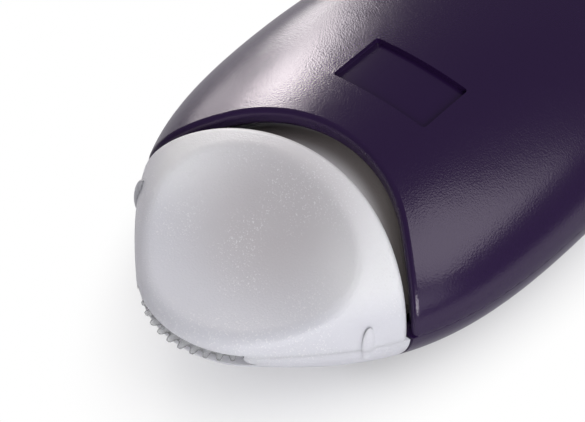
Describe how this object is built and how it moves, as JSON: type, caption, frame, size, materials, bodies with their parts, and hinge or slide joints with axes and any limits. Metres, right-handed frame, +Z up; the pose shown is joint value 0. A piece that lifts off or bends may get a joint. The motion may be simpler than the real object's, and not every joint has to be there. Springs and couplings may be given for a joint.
{
  "type": "chalk wheel marker",
  "caption": "Hand-held tailor's chalk marker: mouse-shaped two-shell handle, pull-out chalk cartridge with dished nose and toothed metering wheel.",
  "frame": {"origin": "on the plane of the flat underside, centred under the whole outline in X and Y", "axes": "+Z up, nose with the wheel towards -Y, tail towards +Y, mirror plane X = 0"},
  "size_m": [0.042, 0.0768, 0.0195],
  "materials": {
    "handle_plastic": "fine leather-like grain, satin",
    "cartridge_plastic": "milky, finely frosted",
    "clear_plastic": "clear, polished",
    "axle_steel": "ground pin",
    "plug_plastic": "soft, smooth",
    "chalk": "loose fine powder"
  },
  "bodies": {
    "handle": {"handle_top_shell": "handle_plastic", "handle_bottom_shell": "handle_plastic"},
    "cartridge": {"cartridge_top_shell": "cartridge_plastic", "cartridge_bottom_shell": "cartridge_plastic", "chalk_charge": "chalk"},
    "wheel": {"metering_wheel": "clear_plastic", "wheel_axle": "axle_steel"},
    "plug": {"refill_plug": "plug_plastic"}
  },
  "joints": [
    {"name": "cartridge_slide", "type": "slide", "parent": "handle", "child": "cartridge", "axis": [0, -1, 0], "range_m": [0, 0.032]},
    {"name": "wheel_spin", "type": "hinge", "parent": "cartridge", "child": "wheel", "pos_m": [0, -0.02962, 0.009], "axis": [0, 0, 1], "continuous": true},
    {"name": "plug_slide", "type": "slide", "parent": "cartridge", "child": "plug", "axis": [0, 1, 0], "range_m": [0, 0.006]}
  ]
}
